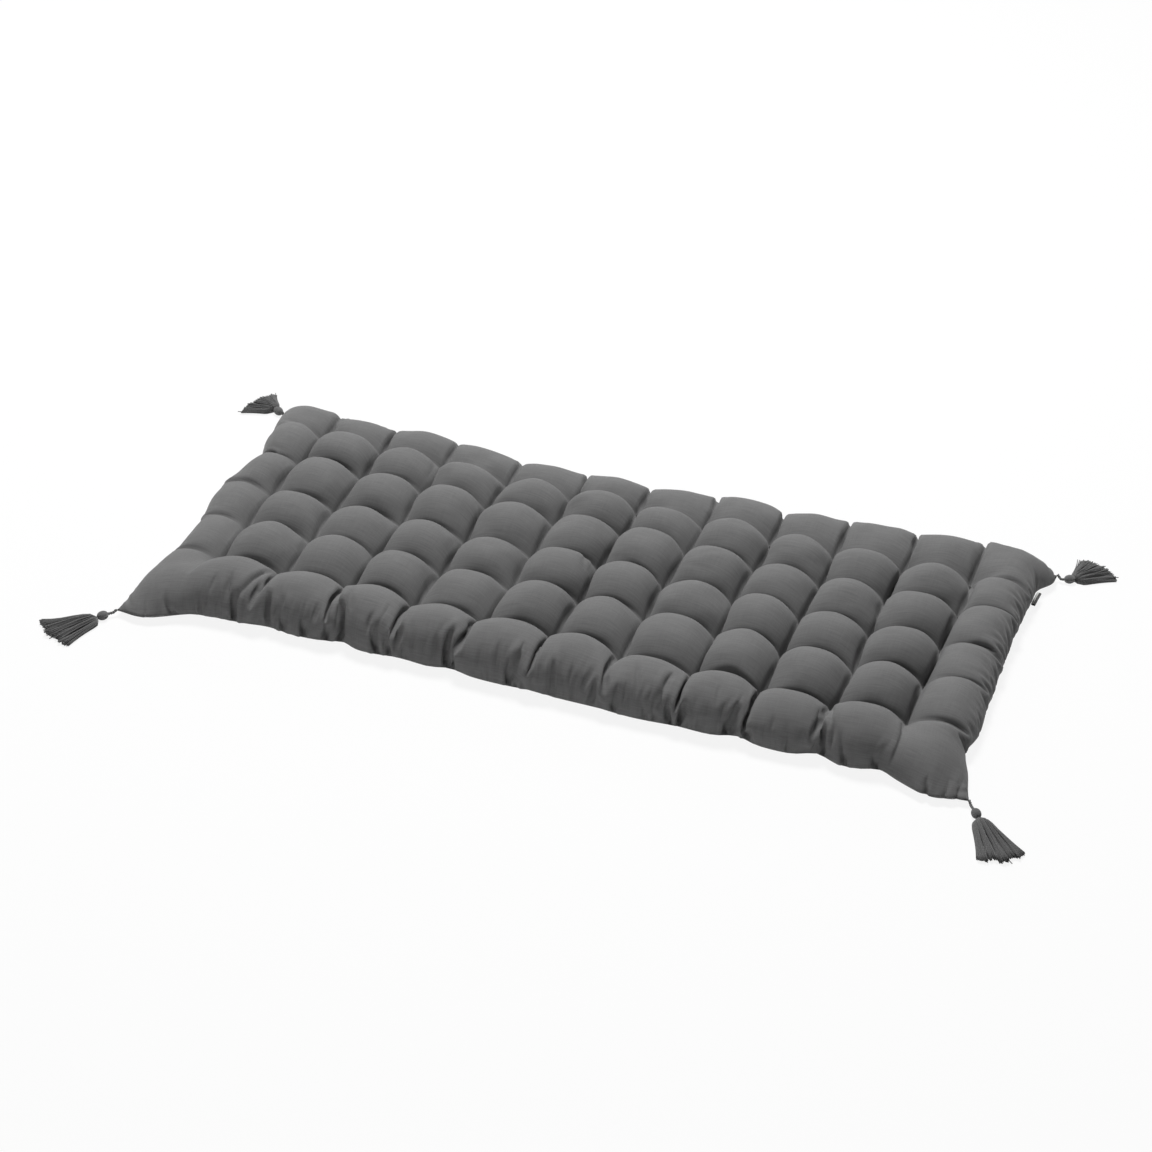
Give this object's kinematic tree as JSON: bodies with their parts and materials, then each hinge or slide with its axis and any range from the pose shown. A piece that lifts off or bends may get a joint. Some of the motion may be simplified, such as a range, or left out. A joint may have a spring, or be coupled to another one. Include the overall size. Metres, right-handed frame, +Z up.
{
  "type": "tufted floor mattress",
  "caption": "Tufted floor mattress: a filled cotton bag tied down on a square grid into rounded puffs, with drawn-in sides, pointed corners and a yarn tassel at every corner.",
  "frame": {"origin": "on the floor under the middle of the whole, tassels included", "axes": "+X along the length, +Y across the width from the front long side to the back one, +Z up"},
  "size_m": [1.3866, 0.827, 0.0718],
  "materials": {
    "cover_cloth": "matte plain-weave cotton, dark grey, with fine creases",
    "tassel_wrap": "matte grey cotton yarn, twisted and wound",
    "tassel_yarn": "soft darker grey cut yarn",
    "label_tape": "off-white woven tape, blank"
  },
  "bodies": {
    "root": {"mattress": "cover_cloth", "tassel_cord_fl": "tassel_wrap", "tassel_ball_fl": "tassel_wrap", "tassel_skirt_fl": "tassel_yarn", "tassel_cord_fr": "tassel_wrap", "tassel_ball_fr": "tassel_wrap", "tassel_skirt_fr": "tassel_yarn", "tassel_cord_bl": "tassel_wrap", "tassel_ball_bl": "tassel_wrap", "tassel_skirt_bl": "tassel_yarn", "tassel_cord_br": "tassel_wrap", "tassel_ball_br": "tassel_wrap", "tassel_skirt_br": "tassel_yarn", "side_label": "label_tape"}
  },
  "joints": []
}
